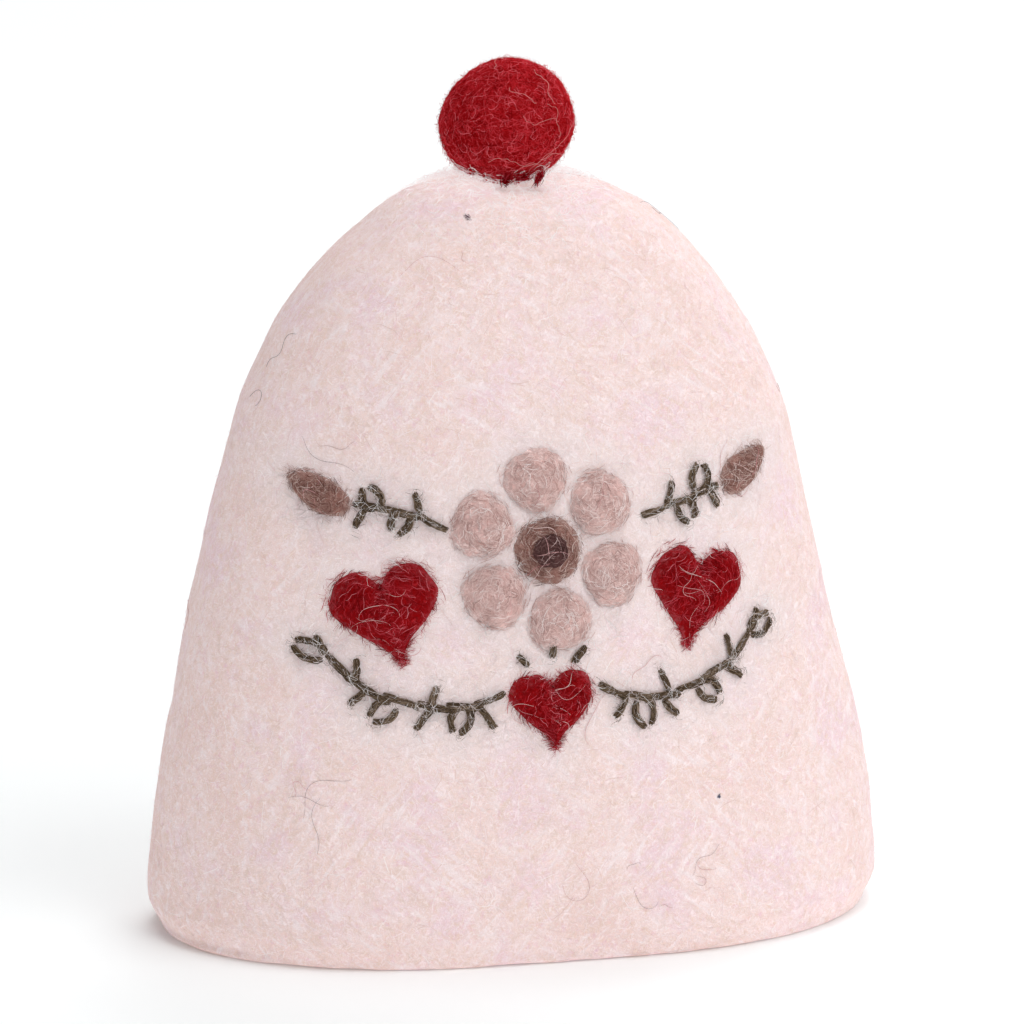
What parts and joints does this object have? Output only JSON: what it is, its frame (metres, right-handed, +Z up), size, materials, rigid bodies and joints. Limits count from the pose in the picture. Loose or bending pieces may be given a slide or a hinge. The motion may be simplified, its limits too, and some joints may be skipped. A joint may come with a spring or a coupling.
{
  "type": "felt egg cosy",
  "caption": "Dome-shaped wool felt egg cosy, flattened front to back and open below, with a felt ball on its crown and a felted flower and hearts on the front.",
  "frame": {"origin": "centre of the object's footprint, on the surface that the hem rests on", "axes": "+X to the right across the width, +Y to the back, +Z up through the crown; the decorated front faces -Y"},
  "size_m": [0.0854, 0.0498, 0.0996],
  "materials": {
    "pale_pink_felt": "wet-felted wool, pale pink with cream and peach fibres, matt and fuzzy",
    "red_felt": "felted red wool, matt, with stray pale fibres",
    "beige_felt": "needle-felted beige wool, thin and fuzzy",
    "taupe_felt": "needle-felted taupe wool, fuzzy, with pale fibres",
    "brown_felt": "needle-felted dark brown wool"
  },
  "bodies": {
    "root": {"cap": "pale_pink_felt", "ball": "red_felt", "petal_0": "beige_felt", "petal_1": "beige_felt", "petal_2": "beige_felt", "petal_3": "beige_felt", "petal_4": "beige_felt", "petal_5": "beige_felt", "flower_disc": "taupe_felt", "flower_eye": "brown_felt", "heart_left": "red_felt", "heart_right": "red_felt", "heart_low": "red_felt", "bud_left": "taupe_felt", "bud_right": "taupe_felt"}
  },
  "joints": []
}
